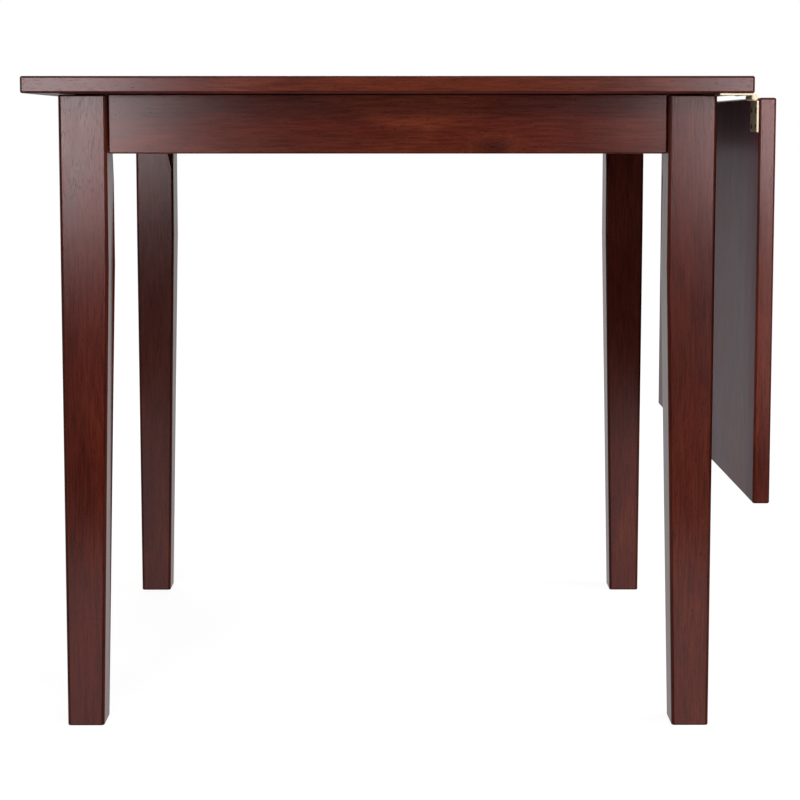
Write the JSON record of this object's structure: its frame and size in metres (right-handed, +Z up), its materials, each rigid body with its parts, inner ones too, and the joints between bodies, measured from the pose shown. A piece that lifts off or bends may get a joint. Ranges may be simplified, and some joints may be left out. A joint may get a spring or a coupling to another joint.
{
  "type": "drop-leaf dining table",
  "caption": "Square-legged wooden dining table with one hinged drop leaf, aprons, corner brackets, brass butt hinges and pull-out bars that hold the raised leaf.",
  "frame": {"origin": "on the floor, under the middle of the table's box with the leaf hanging", "axes": "+X from the plain end of the top towards the leaf, +Y along the leaf joint from front to back, +Z up"},
  "size_m": [0.8266, 0.762, 0.74],
  "materials": {
    "walnut": "satin walnut stain",
    "inner_wood": "bare hardwood",
    "steel": "zinc plated",
    "brass": "polished brass plate"
  },
  "bodies": {
    "table": {"table_top": "walnut", "apron_front": "walnut", "apron_right": "walnut", "apron_back": "walnut", "apron_left": "walnut", "leg_front_left": "walnut", "leg_front_right": "walnut", "leg_back_right": "walnut", "leg_back_left": "walnut", "cleat_front": "inner_wood", "cleat_right": "inner_wood", "cleat_back": "inner_wood", "cleat_left": "inner_wood", "bar_runner_front_outer": "inner_wood", "bar_runner_front_inner": "inner_wood", "bar_runner_back_inner": "inner_wood", "bar_runner_back_outer": "inner_wood", "bar_keeper_front": "inner_wood", "bar_keeper_back": "inner_wood", "corner_bracket_front_left": "steel", "corner_bracket_front_right": "steel", "corner_bracket_back_right": "steel", "corner_bracket_back_left": "steel", "hanger_bolts": "steel", "bolt_washers": "steel", "wing_nuts": "steel", "bracket_screws": "steel", "cleat_top_screws": "steel", "cleat_apron_screws": "steel", "runner_screws": "steel", "keeper_screws": "steel", "hinge_top_plate_front": "brass", "hinge_top_plate_middle": "brass", "hinge_top_plate_back": "brass", "hinge_pin_front": "brass", "hinge_pin_middle": "brass", "hinge_pin_back": "brass", "hinge_top_screws": "brass"},
    "leaf": {"drop_leaf": "walnut", "hinge_leaf_plate_front": "brass", "hinge_leaf_plate_middle": "brass", "hinge_leaf_plate_back": "brass", "hinge_leaf_screws": "brass"},
    "support_front": {"support_bar_front": "inner_wood", "bar_stop_pin_front": "inner_wood"},
    "support_back": {"support_bar_back": "inner_wood", "bar_stop_pin_back": "inner_wood"}
  },
  "joints": [
    {"name": "leaf_hinge", "type": "hinge", "parent": "table", "child": "leaf", "pos_m": [0.39005, 0, 0.7167], "axis": [0, -1, 0], "range_deg": [0, 90]},
    {"name": "support_front_slide", "type": "slide", "parent": "table", "child": "support_front", "axis": [1, 0, 0], "range_m": [0, 0.034]},
    {"name": "support_back_slide", "type": "slide", "parent": "table", "child": "support_back", "axis": [1, 0, 0], "range_m": [0, 0.034]}
  ]
}
